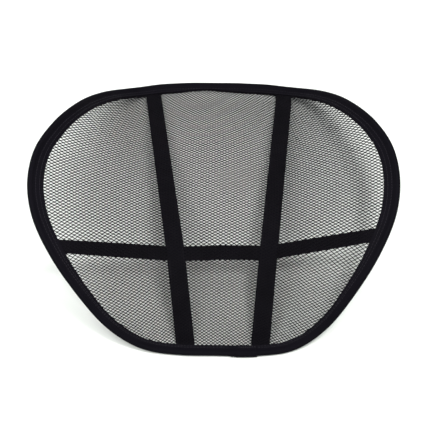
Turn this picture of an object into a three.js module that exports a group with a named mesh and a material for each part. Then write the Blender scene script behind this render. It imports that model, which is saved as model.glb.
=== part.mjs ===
// Mesh lumbar support: a stretched net in a bent spring-wire loop, with two upright stays
// and a cross strap behind the net. Millimetres. The support lies on its back: +X to the
// sitter's left as seen from the front, +Y to the top edge, +Z out of the front face.
import * as THREE from "three";

// ---- overall shape ----
const EDGE_TOP = 181.0;             // height of the top edge
const EDGE_LOW = -184.4;            // height of the bottom edge
const WING_LIFT = 95;               // how far the side edges stand forward of the top and bottom
const WING_Y = -0.5;                // where the side edges stand furthest forward
const BOW_TOP = 2.4;                // fullness of the edge's bow, upper part
const BOW_BOTTOM = 2.8;             // fullness of the edge's bow, lower part
const FLAT_SHARE = 0.008;           // share of the bow that stays flat at each end
const EASE_TOP = 0.08;              // how gently the bow leaves the flat, top
const EASE_BOTTOM = 0.05;           // how gently the bow leaves the flat, bottom
// the outline anticlockwise from the bottom centre; the bent wire is not quite symmetric
const OUTLINE = [
  [0, -184.3],
  [41, -185.1],
  [82, -180],
  [119.4, -161.8],
  [149.2, -133.2],
  [173.5, -100.1],
  [191.1, -63.2],
  [198.8, -23.2],
  [196.5, 17.3],
  [183.5, 56.1],
  [165.3, 92.6],
  [144.7, 127.8],
  [117.6, 158.3],
  [80.8, 175.5],
  [40.6, 180],
  [0, 181],
  [-40.9, 180.8],
  [-81.2, 176.1],
  [-117.6, 157.8],
  [-143.8, 126.9],
  [-164.1, 91.7],
  [-182.3, 55.3],
  [-196.7, 17.1],
  [-200, -23.6],
  [-191.8, -63.7],
  [-173, -100.2],
  [-147.5, -132.1],
  [-117.3, -159.3],
  [-80.7, -176.6],
  [-40.7, -183],
];

// ---- tape, wire and net ----
const TAPE = 0.8;                   // thickness of every tape
const GAP = 0.35;                   // clearance between neighbours
const WIRE_R = 2.0;                 // spring wire radius
const WIRE_END_R = 1.2;             // radius of the wire's turned-down ends
const NET = 0.8;                    // thickness of the net
const CHANNEL_R = WIRE_R + GAP;     // inside of the binding's fold
const FOLD_R = CHANNEL_R + TAPE;    // outside of the binding's fold
const BINDING_TOP = 14.3;           // binding width at the top edge
const NARROW_BY = 3.8;              // how much narrower it is mid way along the top edge
const NARROW_AT = -8;               // where it is narrowest
const NARROW_REACH = 30;            // how far to each side it narrows
const BINDING_BOTTOM = 12.3;        // binding width at the bottom edge
const BINDING_SIDE = 18.2;          // binding width at the side edges
const LAP_STATION = 3;              // where the binding starts, in stations from the bottom centre
const LAP = 20;                     // how far its end laps over its start
const NET_EDGE = WIRE_R + 0.6;      // the net's edge, measured in from the wire's centre
const FERRULE = 26;                 // length of the crimp sleeve on the wire's ends
const WIRE_SPLIT = 1.0;             // gap between the wire's ends inside the sleeve

// ---- bands and stays behind the net ----
const BAND = 21.4;                  // width allowed for the upright bands
const BAND_EDGE = 0.3;              // how far their tapes stay inside that width
const BAND_TOP = [-78.9, 94.5];     // where the left and right bands' centres meet the top edge
const BAND_CROSS = [-41.9, 56.8];   // where they pass the cross strap
const BAND_BOTTOM = [-33.9, 49.4];  // where they meet the bottom edge
const APEX_Y = [-86.9, -85.7];      // the fullest point of the left and right stays
const APEX_Z = 56.6;                // height of the net there
const APEX_ROUND = 26;              // length of the rounding each side of that point
const STRAP = 17.2;                  // width of the cross strap
const STRAP_LEFT_Y = -98.3;         // where the strap meets the left edge
const STRAP_RIGHT_Y = -88.6;        // where the strap meets the right edge
const STRAP_RISE = [2.6, 3.2];      // how far up it is pulled beside the left and right stays
const STRAP_SETTLE = 0.2;           // share of the middle over which that dies away
const TUCK = 3.6;                   // how near the wire's centre the bands' ends reach
const STAY = 9;                     // width of the flat spring stays
const STAY_T = 1.0;                 // thickness of the stays
const TIP = 13;                     // width of the stays' end tips
const TIP_LONG = 16;                // length of the end tips
const STAY_IN = 26;                 // how far the stays' pockets stay clear of the binding

// ---- corners of the net's sheet ----
const CORNER_LOW = [-118.5, 123];   // how far across the lower left and right corners are
const CORNER_HIGH = 122;            // how far up the upper corners are

// ---- mesh density ----
const STATIONS = 144;               // round the edge
const ROWS_LOW = 10;                // rows of facets below the cross strap
const ROWS_HIGH = 20;               // rows above it
const COLS_WING = 11;
const COLS_MID = 16;
const ROWS = ROWS_LOW + ROWS_HIGH;

const V3 = (x, y, z) => new THREE.Vector3(x, y, z);
const UP = V3(0, 0, 1);
const clamp01 = (t) => Math.min(1, Math.max(0, t));
const lerp = (a, b, t) => a + (b - a) * t;
const smooth = (t) => clamp01(t) ** 2 * (3 - 2 * clamp01(t));

// ---- the outer edge in plan ----
const outline = new THREE.CatmullRomCurve3(OUTLINE.map(([x, y]) => V3(x, y, 0)), true, "centripetal");
outline.arcLengthDivisions = 1600;
const PERIMETER = outline.getLength();

// plan point and inward direction at a distance round from the bottom centre, towards +X
function edgePlan(s) {
  const t = ((s / PERIMETER % 1) + 1) % 1;
  const p = outline.getPointAt(t);
  const d = outline.getTangentAt(t);
  const inward = V3(-d.y, d.x, 0).normalize();
  return { p, inward };
}

// how far the edge stands forward at height y
function lift(y) {
  const high = y > WING_Y;
  const edge = high ? EDGE_TOP : EDGE_LOW;
  const ease = high ? EASE_TOP : EASE_BOTTOM;
  const t = clamp01((edge - y) / (edge - WING_Y) - FLAT_SHARE);
  const eased = clamp01(((t * t) / (t + ease)) * (1 + ease + FLAT_SHARE));
  return WING_LIFT * (1 - (1 - eased) ** (high ? BOW_TOP : BOW_BOTTOM));
}

// the net's middle height where the edge lies flat: half the net above the tapes under it
const NET_BASE = TAPE + GAP + TAPE + GAP + NET / 2;
// the wire's centre above the net's middle
const WIRE_UP = CHANNEL_R + TAPE - NET_BASE;

// net-level point under the wire, at distance s round the edge
function wirePoint(s) {
  const { p, inward } = edgePlan(s);
  const q = p.clone().addScaledVector(inward, FOLD_R);
  q.z = NET_BASE + lift(p.y);
  return q;
}

function bindingWidth(s) {
  const { p } = edgePlan(s);
  const narrow = NARROW_BY * Math.exp(-(((p.x - NARROW_AT) / NARROW_REACH) ** 2));
  const end = p.y > 0 ? BINDING_TOP - narrow : BINDING_BOTTOM;
  return lerp(end, BINDING_SIDE, (lift(p.y) / WING_LIFT) ** 2) - FOLD_R;
}

// distance round the edge at which a test on the plan point first turns from false to true
function findRound(from, to, test) {
  let a = from;
  let b = to;
  for (let i = 0; i < 40; i++) {
    const m = (a + b) / 2;
    if (test(edgePlan(m).p)) {
      b = m;
    } else {
      a = m;
    }
  }
  return (a + b) / 2;
}
const HALF_ROUND = PERIMETER / 2;
const marks = {
  bottomRight: findRound(0, HALF_ROUND * 0.4, (p) => p.x > BAND_BOTTOM[1] + BAND / 2),
  cornerLowRight: findRound(0, HALF_ROUND * 0.4, (p) => p.x > CORNER_LOW[1]),
  strapRight: findRound(HALF_ROUND * 0.15, HALF_ROUND * 0.6, (p) => p.y > STRAP_RIGHT_Y),
  cornerHighRight: findRound(HALF_ROUND * 0.4, HALF_ROUND * 0.9, (p) => p.y > CORNER_HIGH),
  topRight: findRound(HALF_ROUND * 0.6, HALF_ROUND, (p) => p.x < BAND_TOP[1] + BAND / 2),
  topLeft: findRound(HALF_ROUND, HALF_ROUND * 1.4, (p) => p.x < BAND_TOP[0] - BAND / 2),
  cornerHighLeft: findRound(HALF_ROUND, HALF_ROUND * 1.6, (p) => p.y < CORNER_HIGH && p.x < -20),
  strapLeft: findRound(HALF_ROUND * 1.4, HALF_ROUND * 1.85, (p) => p.y < STRAP_LEFT_Y),
  cornerLowLeft: findRound(HALF_ROUND * 1.6, PERIMETER, (p) => p.x > CORNER_LOW[0] && p.y < 0),
  bottomLeft: findRound(HALF_ROUND * 1.6, PERIMETER, (p) => p.x > BAND_BOTTOM[0] - BAND / 2 && p.y < 0),
};

// ---- the net's surface: three patches between the edge and the bands' outer lines ----
function coons(left, right, bottom, top, u, v) {
  const q = V3(0, 0, 0);
  q.addScaledVector(left(v), 1 - u);
  q.addScaledVector(right(v), u);
  q.addScaledVector(bottom(u), 1 - v);
  q.addScaledVector(top(u), v);
  q.addScaledVector(left(0), -(1 - u) * (1 - v));
  q.addScaledVector(right(0), -u * (1 - v));
  q.addScaledVector(left(1), -(1 - u) * v);
  q.addScaledVector(right(1), -u * v);
  return q;
}
const SPLIT = ROWS_LOW / ROWS;

// share 0..1 up a side that reaches the strap at SPLIT, split between three marks
const upThree = (a, m, b, v) => (v < SPLIT ? lerp(a, m, v / SPLIT) : lerp(m, b, (v - SPLIT) / (1 - SPLIT)));

// the outer line of one band, bottom to top, rounded over the fullest point
function bandLine(side, rim) {
  const low = rim(side > 0 ? marks.bottomRight : marks.bottomLeft);
  const high = rim(side > 0 ? marks.topRight : marks.topLeft);
  const k = side > 0 ? 1 : 0;
  const apex = V3(BAND_CROSS[k] + (side * BAND) / 2, APEX_Y[k], APEX_Z);
  const lowLength = apex.distanceTo(low);
  const highLength = apex.distanceTo(high);
  return (v) => {
    const d = v < SPLIT ? (v / SPLIT - 1) * lowLength : ((v - SPLIT) / (1 - SPLIT)) * highLength;
    const toLow = low.clone().sub(apex).normalize();
    const toHigh = high.clone().sub(apex).normalize();
    if (Math.abs(d) >= APEX_ROUND) {
      return apex.clone().addScaledVector(d < 0 ? toLow : toHigh, Math.abs(d));
    }
    const t = (d + APEX_ROUND) / (2 * APEX_ROUND);
    const a = apex.clone().addScaledVector(toLow, APEX_ROUND);
    const b = apex.clone().addScaledVector(toHigh, APEX_ROUND);
    return a.multiplyScalar((1 - t) ** 2).addScaledVector(apex, 2 * t * (1 - t)).addScaledVector(b, t * t);
  };
}

function patches(rim) {
  const right = bandLine(1, rim);
  const left = bandLine(-1, rim);
  const m = marks;
  const middle = (u, v) =>
    coons(
      left,
      right,
      (a) => rim(lerp(m.bottomLeft - PERIMETER, m.bottomRight, a)),
      (a) => rim(lerp(m.topLeft, m.topRight, a)),
      u,
      v,
    );
  // a wing runs from its band (u 0) out to the edge (u 1), straight along the strap's line
  const wing = (line, side) => {
    const sideRim = (v) =>
      side > 0
        ? rim(upThree(m.cornerLowRight, m.strapRight, m.cornerHighRight, v))
        : rim(upThree(m.cornerLowLeft, m.strapLeft, m.cornerHighLeft, v));
    const low = (u) =>
      side > 0 ? rim(lerp(m.bottomRight, m.cornerLowRight, u)) : rim(lerp(m.bottomLeft, m.cornerLowLeft, u));
    const high = (u) =>
      side > 0 ? rim(lerp(m.topRight, m.cornerHighRight, u)) : rim(lerp(m.topLeft, m.cornerHighLeft, u));
    return (u, v) => {
      const q = coons(line, sideRim, low, high, u, v);
      const onStrap = coons(line, sideRim, low, high, u, SPLIT);
      const straight = line(SPLIT).lerp(sideRim(SPLIT), u);
      const away = (v - SPLIT) / (v < SPLIT ? SPLIT : 1 - SPLIT);
      const hold = (1 - away * away) ** 2;
      return q.addScaledVector(straight.sub(onStrap), hold);
    };
  };
  return { middle, right: wing(right, 1), left: wing(left, -1) };
}

// across the middle, two columns fall on each band and the rest share the space between
function middleShare(width, column) {
  const edge = BAND / width;
  if (column <= 2) {
    return (edge * column) / 2;
  }
  if (column >= COLS_MID - 2) {
    return 1 - (edge * (COLS_MID - column)) / 2;
  }
  return edge + ((column - 2) / (COLS_MID - 4)) * (1 - 2 * edge);
}
// a band lies flat across its width except close to the binding, where it follows the edge;
// across is measured in from the band's outer line, and v goes up the band
function bandAcross(sheet, side, v, across) {
  const width = sheet.middle(0, v).distanceTo(sheet.middle(1, v));
  const at = (mm) => sheet.middle(side < 0 ? mm / width : 1 - mm / width, v);
  const outer = at(0);
  const inner = at(BAND);
  const follow = 1 - smooth((Math.min(v, 1 - v) * ROWS) / 2);
  const mid = outer.clone().lerp(inner, 0.5).lerp(at(BAND / 2), follow);
  const share = across / (BAND / 2);
  return share < 1 ? outer.lerp(mid, share) : mid.lerp(inner, share - 1);
}

// triangles of the whole net at net level, as rows of points: left wing, middle, right wing
function netRows(surface) {
  const rows = [];
  for (let j = 0; j <= ROWS; j++) {
    const v = j / ROWS;
    const row = [];
    for (let i = COLS_WING; i > 0; i--) {
      row.push(surface.left(i / COLS_WING, v));
    }
    const width = surface.middle(0, v).distanceTo(surface.middle(1, v));
    for (let i = 0; i <= COLS_MID; i++) {
      if (i === 1) {
        row.push(bandAcross(surface, -1, v, BAND / 2));
      } else if (i === COLS_MID - 1) {
        row.push(bandAcross(surface, 1, v, BAND / 2));
      } else {
        row.push(surface.middle(middleShare(width, i), v));
      }
    }
    for (let i = 1; i <= COLS_WING; i++) {
      row.push(surface.right(i / COLS_WING, v));
    }
    rows.push(row);
  }
  return rows;
}

// height of a sheet of rows at a plan point
function heightAt(rows, x, y) {
  for (let j = 0; j < rows.length - 1; j++) {
    for (let i = 0; i < rows[j].length - 1; i++) {
      const quad = [rows[j][i], rows[j][i + 1], rows[j + 1][i + 1], rows[j + 1][i]];
      for (const [a, b, c] of [[quad[0], quad[1], quad[2]], [quad[0], quad[2], quad[3]]]) {
        const area = (b.x - a.x) * (c.y - a.y) - (c.x - a.x) * (b.y - a.y);
        const s = ((x - a.x) * (c.y - a.y) - (c.x - a.x) * (y - a.y)) / area;
        const t = ((b.x - a.x) * (y - a.y) - (x - a.x) * (b.y - a.y)) / area;
        if (s > -1e-6 && t > -1e-6 && s + t < 1 + 1e-6) {
          return a.z + s * (b.z - a.z) + t * (c.z - a.z);
        }
      }
    }
  }
  return null;
}

// slope of the net just inside the edge, found on a first net hung from the wire itself
const firstRows = netRows(patches(wirePoint));
const slopeSteps = 96;
const rawSlopes = [];
for (let k = 0; k < slopeSteps; k++) {
  const s = (k / slopeSteps) * PERIMETER;
  const w = wirePoint(s);
  const q = w.clone().addScaledVector(edgePlan(s).inward, 22);
  const z = heightAt(firstRows, q.x, q.y);
  const flat = smooth(lift(edgePlan(s).p.y) / (0.14 * WING_LIFT));
  rawSlopes.push(((z ?? w.z) - w.z) / 22 * flat);
}
const slopes = rawSlopes.map((_, k) => {
  const at = (i) => rawSlopes[(i + slopeSteps) % slopeSteps];
  return rawSlopes[k] === 0 ? 0 : 0.25 * at(k - 1) + 0.5 * at(k) + 0.25 * at(k + 1);
});

// frame of the edge at distance s: along, inward along the net, and out of the front
function edgeFrame(s) {
  const w = wirePoint(s);
  const along = wirePoint(s + 0.5).sub(wirePoint(s - 0.5)).normalize();
  const turn = (((s / PERIMETER) % 1) + 1) % 1 * slopeSteps;
  const k = Math.floor(turn);
  const slope = lerp(slopes[k % slopeSteps], slopes[(k + 1) % slopeSteps], turn - k);
  const inward = edgePlan(s).inward.clone();
  inward.z = slope;
  inward.addScaledVector(along, -inward.dot(along)).normalize();
  const out = along.clone().cross(inward).normalize();
  return { w, along, inward, out };
}
const fromEdge = (s, u, v) => {
  const f = edgeFrame(s);
  return f.w.clone().addScaledVector(f.inward, u).addScaledVector(f.out, v);
};

// the net inside the binding hangs from the binding's inner edge
const innerRim = (s) => fromEdge(s, bindingWidth(s), 0);
const surface = patches(innerRim);

// ---- building closed bodies ----
// six times the signed volume inside the triangles
function signedVolume(points, triangles) {
  let sum = 0;
  for (const [a, b, c] of triangles) {
    sum += points[a].dot(points[b].clone().cross(points[c]));
  }
  return sum;
}
function body(name, color, points, faces) {
  const turn = signedVolume(points, faces) < 0;
  const triangles = faces.map(([a, b, c]) => (turn ? [a, c, b] : [a, b, c]));
  const geometry = new THREE.BufferGeometry();
  const numbers = points.flatMap((p) => [p.x, p.y, p.z]);
  geometry.setAttribute("position", new THREE.Float32BufferAttribute(numbers, 3));
  geometry.setIndex(triangles.flat());
  geometry.computeVertexNormals();
  const mesh = new THREE.Mesh(geometry, new THREE.MeshStandardMaterial({ color, roughness: 0.8 }));
  mesh.name = name;
  return mesh;
}

// sections of equal point count joined along their order; an open run gets the given caps
function loft(name, color, sections, closed, cap) {
  const n = sections[0].length;
  const triangles = [];
  const runs = closed ? sections.length : sections.length - 1;
  for (let k = 0; k < runs; k++) {
    const a = k * n;
    const b = ((k + 1) % sections.length) * n;
    for (let i = 0; i < n; i++) {
      const j = (i + 1) % n;
      triangles.push([a + i, b + j, a + j], [a + i, b + i, b + j]);
    }
  }
  if (!closed) {
    const last = (sections.length - 1) * n;
    for (const [i, j, k] of cap) {
      triangles.push([i, j, k], [last + i, last + k, last + j]);
    }
  }
  return body(name, color, sections.flat(), triangles);
}
const fan = (n) => Array.from({ length: n - 2 }, (_, i) => [0, i + 1, i + 2]);
// cap for a section made of an outer line followed by the inner line backwards
const ribbonCap = (n) =>
  Array.from({ length: n - 1 }, (_, i) => [
    [i, i + 1, 2 * n - 2 - i],
    [i, 2 * n - 2 - i, 2 * n - 1 - i],
  ]).flat();

// ---- wire and sleeve ----
const WIRE_SIDES = 10;
const round = (s, r, sides) =>
  Array.from({ length: sides }, (_, i) => {
    const a = (-2 * Math.PI * (i + 0.5)) / sides;
    return fromEdge(s, r * Math.cos(a), WIRE_UP + r * Math.sin(a));
  });
function wire() {
  const stops = [];
  const clear = FERRULE / 2 + 1.5;
  for (const s of [WIRE_SPLIT / 2, FERRULE / 2 + 0.4]) {
    stops.push([s, WIRE_END_R]);
  }
  stops.push([clear, WIRE_R]);
  const step = PERIMETER / STATIONS;
  for (let k = 1; k < STATIONS; k++) {
    if (k * step > clear + 2 && k * step < PERIMETER - clear - 2) {
      stops.push([k * step, WIRE_R]);
    }
  }
  stops.push([PERIMETER - clear, WIRE_R]);
  for (const s of [FERRULE / 2 + 0.4, WIRE_SPLIT / 2]) {
    stops.push([PERIMETER - s, WIRE_END_R]);
  }
  const sections = stops.map(([s, r]) => round(s, r, WIRE_SIDES));
  return loft("perimeter_wire", 0x8c9096, sections, false, fan(WIRE_SIDES));
}
function ferrule() {
  const stops = [-FERRULE / 2, -FERRULE / 4, 0, FERRULE / 4, FERRULE / 2];
  const sides = 16;
  const outer = stops.map((s) => round(s, WIRE_R, sides));
  const inner = stops.map((s) => round(s, WIRE_END_R + GAP, sides));
  const points = [...outer, ...inner].flat();
  const triangles = [];
  const rings = stops.length;
  const at = (shell, k, i) => (shell * rings + k) * sides + (i % sides);
  for (let i = 0; i < sides; i++) {
    for (let k = 0; k < rings - 1; k++) {
      triangles.push([at(0, k, i), at(0, k + 1, i + 1), at(0, k, i + 1)]);
      triangles.push([at(0, k, i), at(0, k + 1, i), at(0, k + 1, i + 1)]);
      triangles.push([at(1, k, i), at(1, k, i + 1), at(1, k + 1, i + 1)]);
      triangles.push([at(1, k, i), at(1, k + 1, i + 1), at(1, k + 1, i)]);
    }
    triangles.push([at(0, 0, i), at(0, 0, i + 1), at(1, 0, i + 1)]);
    triangles.push([at(0, 0, i), at(1, 0, i + 1), at(1, 0, i)]);
    const e = rings - 1;
    triangles.push([at(0, e, i), at(1, e, i), at(1, e, i + 1)]);
    triangles.push([at(0, e, i), at(1, e, i + 1), at(0, e, i + 1)]);
  }
  return body("wire_ferrule", 0x9a9ca0, points, triangles);
}

// ---- binding: tape folded round the wire, flat behind, stepping down to the net in front ----
// one line of the fold, from the front flap's edge round the outside to the back flap's edge
function foldLine(width, radius, flapUp, grow, backShare) {
  const line = [];
  line.push([width, WIRE_UP + flapUp + grow]);
  line.push([radius + 2.0, WIRE_UP + flapUp + grow]);
  for (const deg of [50, 90, 130, 170, 205, 238]) {
    const a = (Math.PI / 180) * deg;
    const r = radius + grow;
    // a lapped layer never reaches below the flat back of the fold
    line.push([r * Math.cos(a), WIRE_UP + Math.max(r * Math.sin(a), -FOLD_R)]);
  }
  line.push([0, WIRE_UP - radius]);
  line.push([width, WIRE_UP - radius]);
  // where the back flap is cut short, its points gather up along the fold
  const kept = line.length - 4;
  const tail = line.slice(kept - 1);
  const lengths = [0];
  for (let i = 1; i < tail.length; i++) {
    lengths.push(lengths[i - 1] + Math.hypot(tail[i][0] - tail[i - 1][0], tail[i][1] - tail[i - 1][1]));
  }
  const along = (d) => {
    let i = 1;
    while (i < tail.length - 1 && lengths[i] < d) {
      i++;
    }
    const t = (d - lengths[i - 1]) / (lengths[i] - lengths[i - 1]);
    return [lerp(tail[i - 1][0], tail[i][0], t), lerp(tail[i - 1][1], tail[i][1], t)];
  };
  return [...line.slice(0, kept), ...lengths.slice(1).map((d) => along(d * backShare))];
}
const FLAP_UP = NET / 2 + GAP - WIRE_UP;
function bindingSection(s, grow, backShare) {
  const width = bindingWidth(s) - 0.5;
  const outer = foldLine(width, FOLD_R, FLAP_UP + TAPE, grow, backShare);
  const inner = foldLine(width, CHANNEL_R, FLAP_UP, grow, backShare);
  return [...outer, ...inner.reverse()].map(([u, v]) => fromEdge(s, u, v));
}
function binding() {
  const sections = [];
  const step = PERIMETER / STATIONS;
  const first = LAP_STATION * step;
  for (let k = 0; k < STATIONS - 1; k++) {
    sections.push(bindingSection(first + k * step, 0, 1));
  }
  const over = TAPE + 0.2;
  const end = first + PERIMETER;
  for (let k = 1; k <= 9; k++) {
    const kept = lerp(1, 0.15, smooth((k - 2) / 7));
    sections.push(bindingSection(end - step + 0.75 * k, over * smooth(k / 4), kept));
  }
  for (let k = 1; k <= 3; k++) {
    sections.push(bindingSection(end + (LAP * k) / 3, over, 0.15));
  }
  const n = sections[0].length / 2;
  return loft("edge_binding", 0x1c1c20, sections, false, ribbonCap(n));
}

// ---- net ----
function normalOf(fn, u, v) {
  const e = 0.004;
  const u0 = Math.max(0, u - e);
  const u1 = Math.min(1, u + e);
  const v0 = Math.max(0, v - e);
  const v1 = Math.min(1, v + e);
  const du = fn(u1, v).sub(fn(u0, v));
  const dv = fn(u, v1).sub(fn(u, v0));
  const n = du.cross(dv).normalize();
  return n.z < 0 ? n.negate() : n;
}

function net() {
  const rows = netRows(surface);
  const width = rows[0].length;
  const index = (j, i) => j * width + i;
  const middle = rows.flat();
  const faces = [];
  const last = width - 1;
  for (let j = 0; j < ROWS; j++) {
    for (let i = 0; i < last; i++) {
      const [a, b, c, d] = [index(j, i), index(j, i + 1), index(j + 1, i + 1), index(j + 1, i)];
      // the diagonal starts at the sheet's corner points, where two sides are in line
      const lean = (j < ROWS / 2) === (i < last / 2);
      faces.push(...(lean ? [[a, b, c], [a, c, d]] : [[a, b, d], [b, c, d]]));
    }
  }
  // the rim of the sheet, anticlockwise, and each point's distance round the edge
  const m = marks;
  const rim = [];
  for (let i = 0; i < last; i++) {
    rim.push(index(0, i));
  }
  for (let j = 0; j < ROWS; j++) {
    rim.push(index(j, last));
  }
  for (let i = last; i > 0; i--) {
    rim.push(index(ROWS, i));
  }
  for (let j = ROWS; j > 0; j--) {
    rim.push(index(j, 0));
  }
  const share = (i) => {
    if (i <= COLS_WING) {
      return ["L", 1 - i / COLS_WING];
    }
    if (i >= COLS_WING + COLS_MID) {
      return ["R", (i - COLS_WING - COLS_MID) / COLS_WING];
    }
    return ["M", i - COLS_WING];
  };
  const middleWidth = (v) => surface.middle(0, v).distanceTo(surface.middle(1, v));
  const roundAt = (id) => {
    const j = Math.floor(id / width);
    const i = id % width;
    if (i === last && j > 0 && j < ROWS) {
      return upThree(m.cornerLowRight, m.strapRight, m.cornerHighRight, j / ROWS);
    }
    if (i === 0 && j > 0 && j < ROWS) {
      return upThree(m.cornerLowLeft, m.strapLeft, m.cornerHighLeft, j / ROWS);
    }
    const [part, t] = share(i);
    const low = j === 0;
    if (part === "R") {
      return low ? lerp(m.bottomRight, m.cornerLowRight, t) : lerp(m.topRight, m.cornerHighRight, t);
    }
    if (part === "L") {
      return low ? lerp(m.bottomLeft, m.cornerLowLeft, t) : lerp(m.topLeft, m.cornerHighLeft, t);
    }
    const u = middleShare(middleWidth(low ? 0 : 1), t);
    return low ? lerp(m.bottomLeft - PERIMETER, m.bottomRight, u) : lerp(m.topLeft, m.topRight, u);
  };
  const outerStart = middle.length;
  for (const id of rim) {
    middle.push(fromEdge(roundAt(id), NET_EDGE, 0));
  }
  for (let k = 0; k < rim.length; k++) {
    const next = (k + 1) % rim.length;
    faces.push([rim[k], outerStart + k, outerStart + next], [rim[k], outerStart + next, rim[next]]);
  }
  // vertex directions from the faces round each point
  const out = middle.map(() => V3(0, 0, 0));
  for (const [a, b, c] of faces) {
    const n = middle[b].clone().sub(middle[a]).cross(middle[c].clone().sub(middle[a]));
    n.normalize();
    out[a].add(n);
    out[b].add(n);
    out[c].add(n);
  }
  rim.forEach((id, k) => out[outerStart + k].copy(edgeFrame(roundAt(id)).out));
  out.forEach((n) => n.normalize());
  const front = middle.map((p, i) => p.clone().addScaledVector(out[i], NET / 2));
  const back = middle.map((p, i) => p.clone().addScaledVector(out[i], -NET / 2));
  const shift = middle.length;
  const triangles = [];
  for (const [a, b, c] of faces) {
    triangles.push([a, b, c], [shift + a, shift + c, shift + b]);
  }
  for (let k = 0; k < rim.length; k++) {
    const a = outerStart + k;
    const b = outerStart + ((k + 1) % rim.length);
    triangles.push([a, shift + a, shift + b], [a, shift + b, b]);
  }
  return body("mesh_panel", 0x24242a, [...front, ...back], triangles);
}

// ---- things that follow the bands ----
// direction out of the front of a band
function bandOut(side, v) {
  const e = 0.5 / ROWS;
  const at = (w, across) => bandAcross(surface, side, Math.min(1, Math.max(0, w)), across);
  const up = at(v + e, BAND / 2).sub(at(v - e, BAND / 2));
  const out = at(v, BAND).sub(at(v, 0)).cross(up).normalize();
  if (out.z < 0) {
    out.negate();
  }
  // at the binding's edge the band turns into the binding, so it leans half way
  if (v <= 0 || v >= 1) {
    out.add(edgeFrame(bandRound(side, v >= 1, BAND / 2)).out).normalize();
  }
  return out;
}
const onBand = (side, v, across, depth) =>
  bandAcross(surface, side, v, across).addScaledVector(bandOut(side, v), depth);
// distance round the edge at which a band's width is crossed
function bandRound(side, high, across) {
  const v = high ? 1 : 0;
  const width = surface.middle(0, v).distanceTo(surface.middle(1, v));
  const share = side < 0 ? across / width : 1 - across / width;
  const m = marks;
  return high ? lerp(m.topLeft, m.topRight, share) : lerp(m.bottomLeft - PERIMETER, m.bottomRight, share);
}
// the same on the part of a band that is tucked into the binding
function inBinding(side, high, across, u, depth) {
  const s = bandRound(side, high, across);
  const out = edgeFrame(bandRound(side, high, BAND / 2)).out;
  return fromEdge(s, u, 0).addScaledVector(out, depth);
}
// a tape's section has its two edges and its middle, in front and behind
const bandSection = (at, a, b, front, behind) => [
  at(a, front),
  at(a, behind),
  at(BAND / 2, behind),
  at(b, behind),
  at(b, front),
  at(BAND / 2, front),
];
const BAND_CAP = [
  [0, 1, 2],
  [0, 2, 5],
  [5, 2, 3],
  [5, 3, 4],
];
const lineLength = (side, from, to) => {
  let sum = 0;
  for (let k = 0; k < 20; k++) {
    const a = onBand(side, lerp(from, to, k / 20), BAND / 2, 0);
    sum += a.distanceTo(onBand(side, lerp(from, to, (k + 1) / 20), BAND / 2, 0));
  }
  return sum;
};
// share up the band at a distance in from its end
const inFromLow = (side, mm) => (mm / lineLength(side, 0, SPLIT)) * SPLIT;
const inFromHigh = (side, mm) => 1 - (mm / lineLength(side, SPLIT, 1)) * (1 - SPLIT);

// a tape or stay that follows a band between two distances across it
function strip(name, color, side, shares, from, to, depthAt) {
  const sections = shares.map((v) => {
    const [front, behind] = depthAt(v);
    return bandSection((across, depth) => onBand(side, v, across, depth), from, to, front, behind);
  });
  return loft(name, color, sections, false, BAND_CAP);
}
const rowShares = (from, to) => {
  const inside = [];
  for (let j = 0; j <= ROWS; j++) {
    if (j / ROWS > from + 0.012 && j / ROWS < to - 0.012) {
      inside.push(j / ROWS);
    }
  }
  return [from, ...inside, to];
};
// depths behind the net's middle
const PLY_FRONT = -(NET / 2 + GAP);
const PLY_BACK = PLY_FRONT - TAPE;
const STAY_FRONT = PLY_BACK - GAP;
const STAY_BACK = STAY_FRONT - STAY_T;
const COVER_FRONT = STAY_BACK - GAP;
const COVER_BACK = COVER_FRONT - TAPE;
const STRAP_FRONT = COVER_BACK - 2 * GAP;

function frontBand(name, side) {
  const [a, b] = [BAND_EDGE, BAND - BAND_EDGE];
  const end = (high) =>
    bandSection((across, depth) => inBinding(side, high, across, TUCK, depth), a, b, PLY_FRONT, PLY_BACK);
  const sections = rowShares(0, 1).map((v) =>
    bandSection((across, depth) => onBand(side, v, across, depth), a, b, PLY_FRONT, PLY_BACK),
  );
  return loft(name, 0x202026, [end(false), ...sections, end(true)], false, BAND_CAP);
}
function backBand(name, side) {
  const from = inFromLow(side, 4);
  const to = inFromHigh(side, 5);
  const full = [inFromLow(side, STAY_IN - 8), inFromHigh(side, STAY_IN - 8)];
  const shares = rowShares(from, to);
  const depths = (v) => {
    const low = smooth((v - from) / (full[0] - from));
    const high = smooth((to - v) / (to - full[1]));
    const t = Math.min(low, high);
    return [lerp(PLY_BACK - GAP, COVER_FRONT, t), lerp(PLY_BACK - GAP - TAPE, COVER_BACK, t)];
  };
  return strip(name, 0x202026, side, shares, BAND_EDGE, BAND - BAND_EDGE, depths);
}
function stay(name, side) {
  const shares = rowShares(inFromLow(side, STAY_IN + 6), inFromHigh(side, STAY_IN + 6));
  const from = (BAND - STAY) / 2;
  return strip(name, 0x9b9fa6, side, shares, from, from + STAY, () => [STAY_FRONT, STAY_BACK]);
}
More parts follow.
